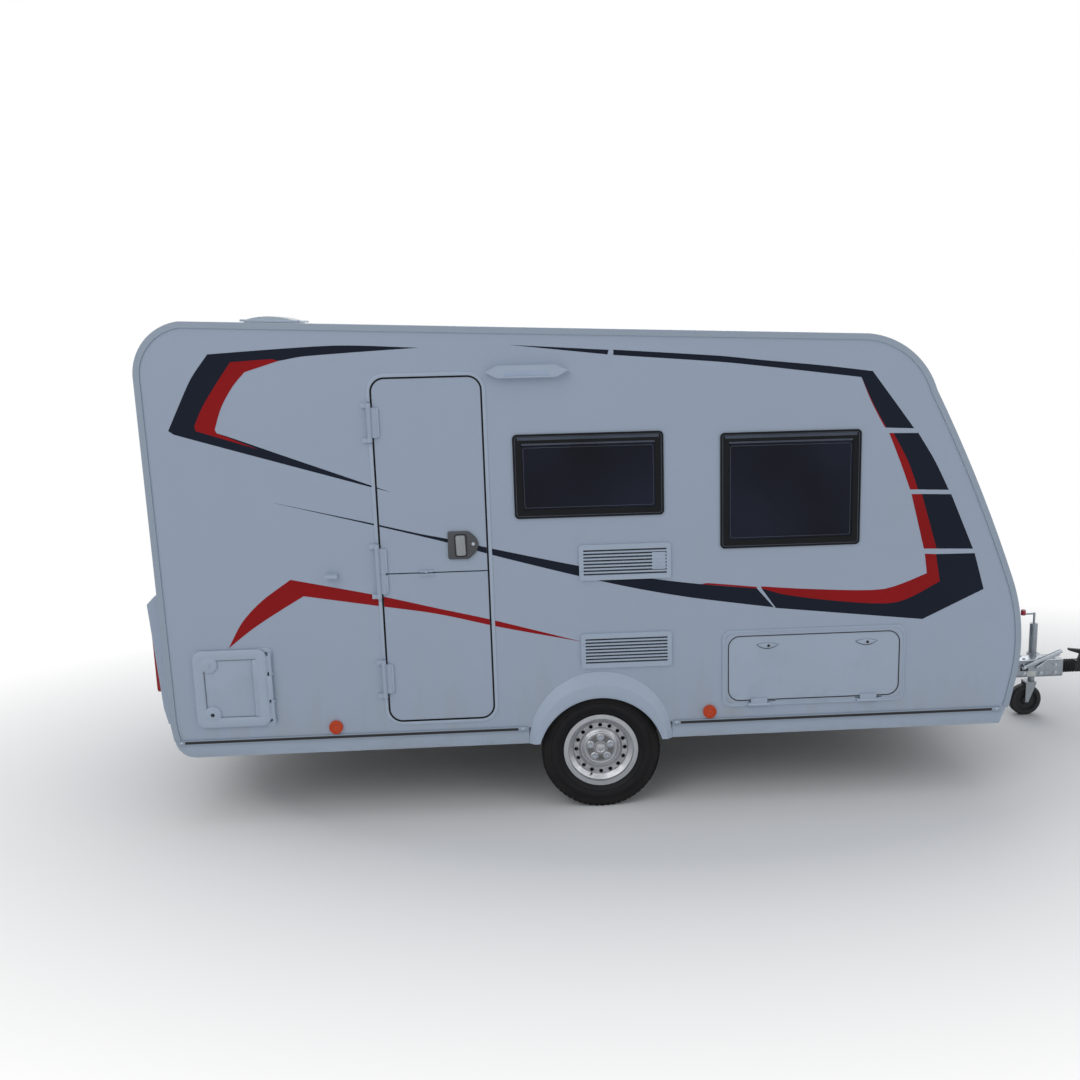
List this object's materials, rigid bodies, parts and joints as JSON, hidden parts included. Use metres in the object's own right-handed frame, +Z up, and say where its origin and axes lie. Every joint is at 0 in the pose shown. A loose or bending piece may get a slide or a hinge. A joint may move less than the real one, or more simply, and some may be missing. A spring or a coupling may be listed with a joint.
{
  "type": "travel caravan",
  "caption": "Small single-axle touring caravan with a stable door, tinted windows, side hatches, drawbar coupling, jockey wheel and folding corner legs.",
  "frame": {"origin": "on the ground below the middle of the whole caravan", "axes": "+X forward to the coupling, +Y to the left side, +Z up; the door is on the right"},
  "size_m": [5.62, 2.154, 2.586],
  "materials": {
    "body_white": "gloss",
    "trim_white": "satin",
    "rail_white": "satin",
    "skirt_white": "satin",
    "seal_black": "matt",
    "window_tint": "gloss",
    "dome_clear": "gloss",
    "galvanised": "satin",
    "black_metal": "satin",
    "wheel_silver": "satin",
    "tyre_black": "matt",
    "rubber_black": "matt",
    "plastic_grey": "matt",
    "lens_amber": "gloss",
    "lens_red": "gloss",
    "lens_clear": "gloss",
    "floor_ply": "matt",
    "cabinet_board": "satin",
    "bottle_grey": "satin"
  },
  "bodies": {
    "caravan_body": {"floor": "floor_ply", "side_wall_right": "body_white", "side_wall_left": "body_white", "rear_wall": "body_white", "roof": "body_white", "front_wall": "body_white", "edge_rails": "rail_white", "bottom_rails": "rail_white", "side_skirts": "skirt_white", "wheel_arches": "trim_white", "wheel_boxes": "plastic_grey", "door_frame": "seal_black", "door_hinges": "trim_white", "window_frames": "seal_black", "window_panes": "window_tint", "vent_grilles": "trim_white", "hatch_frames": "trim_white", "gas_locker_hinges": "trim_white", "frame_rail_right": "galvanised", "frame_rail_left": "galvanised", "drawbar_arm_right": "galvanised", "drawbar_arm_left": "galvanised", "axle_tube": "galvanised", "trailing_arms": "black_metal", "overrun_housing": "galvanised", "bellows": "rubber_black", "coupling_shaft": "galvanised", "coupling_head": "black_metal", "handbrake_lever": "black_metal", "jockey_clamp": "galvanised", "jockey_tube": "galvanised", "steady_brackets": "galvanised", "rear_bumper": "trim_white", "rear_lamps": "lens_red", "side_marker_lamps": "lens_amber", "awning_lamp": "trim_white", "roof_vent": "dome_clear", "door_retainer": "trim_white", "front_benches": "cabinet_board", "kitchen_unit": "cabinet_board", "gas_bottles": "bottle_grey"},
    "wheel_right": {"tyre_right": "tyre_black", "rim_right": "wheel_silver", "brake_drum_right": "black_metal"},
    "wheel_left": {"tyre_left": "tyre_black", "rim_left": "wheel_silver", "brake_drum_left": "black_metal"},
    "door_lower": {"door_lower": "body_white"},
    "door_upper": {"door_upper": "body_white", "door_handle": "plastic_grey"},
    "service_door": {"service_door": "trim_white"},
    "locker_door": {"locker_door": "trim_white"},
    "gas_locker_lid": {"gas_locker_lid": "body_white"},
    "jockey_leg": {"jockey_leg": "galvanised"},
    "jockey_fork": {"jockey_fork": "galvanised"},
    "jockey_wheel": {"jockey_wheel": "rubber_black"},
    "rear_steady_right": {"rear_steady_right": "galvanised"},
    "front_steady_right": {"front_steady_right": "galvanised"},
    "rear_steady_left": {"rear_steady_left": "galvanised"},
    "front_steady_left": {"front_steady_left": "galvanised"}
  },
  "joints": [
    {"name": "wheel_right_spin", "type": "hinge", "parent": "caravan_body", "child": "wheel_right", "pos_m": [-0.55, -0.925, 0.311], "axis": [0, 1, 0], "continuous": true},
    {"name": "wheel_left_spin", "type": "hinge", "parent": "caravan_body", "child": "wheel_left", "pos_m": [-0.55, 0.925, 0.311], "axis": [0, 1, 0], "continuous": true},
    {"name": "door_lower_hinge", "type": "hinge", "parent": "caravan_body", "child": "door_lower", "pos_m": [-1.641, -1.063, 0.9], "axis": [0, 0, -1], "range_deg": [0, 165]},
    {"name": "door_upper_hinge", "type": "hinge", "parent": "caravan_body", "child": "door_upper", "pos_m": [-1.641, -1.063, 1.8], "axis": [0, 0, -1], "range_deg": [0, 165]},
    {"name": "service_door_hinge", "type": "hinge", "parent": "caravan_body", "child": "service_door", "pos_m": [-2.206, -1.064, 0.745], "axis": [0, 0, 1], "range_deg": [0, 90]},
    {"name": "locker_door_hinge", "type": "hinge", "parent": "caravan_body", "child": "locker_door", "pos_m": [0.56, -1.064, 0.548], "axis": [1, 0, 0], "range_deg": [0, 160]},
    {"name": "gas_locker_lid_hinge", "type": "hinge", "parent": "caravan_body", "child": "gas_locker_lid", "pos_m": [1.61589, 0, 1.131], "axis": [0, -1, 0], "range_deg": [0, 70]},
    {"name": "jockey_slide", "type": "slide", "parent": "caravan_body", "child": "jockey_leg", "axis": [0, 0, 1], "range_m": [-0.13, 0.06]},
    {"name": "jockey_swivel", "type": "hinge", "parent": "jockey_leg", "child": "jockey_fork", "pos_m": [2.254, 0.105, 0.215], "axis": [0, 0, 1], "continuous": true},
    {"name": "jockey_wheel_spin", "type": "hinge", "parent": "jockey_fork", "child": "jockey_wheel", "pos_m": [2.218, 0.105, 0.1], "axis": [0, 1, 0], "continuous": true},
    {"name": "rear_steady_right_fold", "type": "hinge", "parent": "caravan_body", "child": "rear_steady_right", "pos_m": [-2.03, -0.85, 0.425], "axis": [0, -1, 0], "range_deg": [0, 50]},
    {"name": "rear_steady_left_fold", "type": "hinge", "parent": "caravan_body", "child": "rear_steady_left", "pos_m": [-2.03, 0.85, 0.425], "axis": [0, -1, 0], "range_deg": [0, 50]},
    {"name": "front_steady_right_fold", "type": "hinge", "parent": "caravan_body", "child": "front_steady_right", "pos_m": [0.93, -0.85, 0.425], "axis": [0, 1, 0], "range_deg": [0, 50]},
    {"name": "front_steady_left_fold", "type": "hinge", "parent": "caravan_body", "child": "front_steady_left", "pos_m": [0.93, 0.85, 0.425], "axis": [0, 1, 0], "range_deg": [0, 50]}
  ]
}
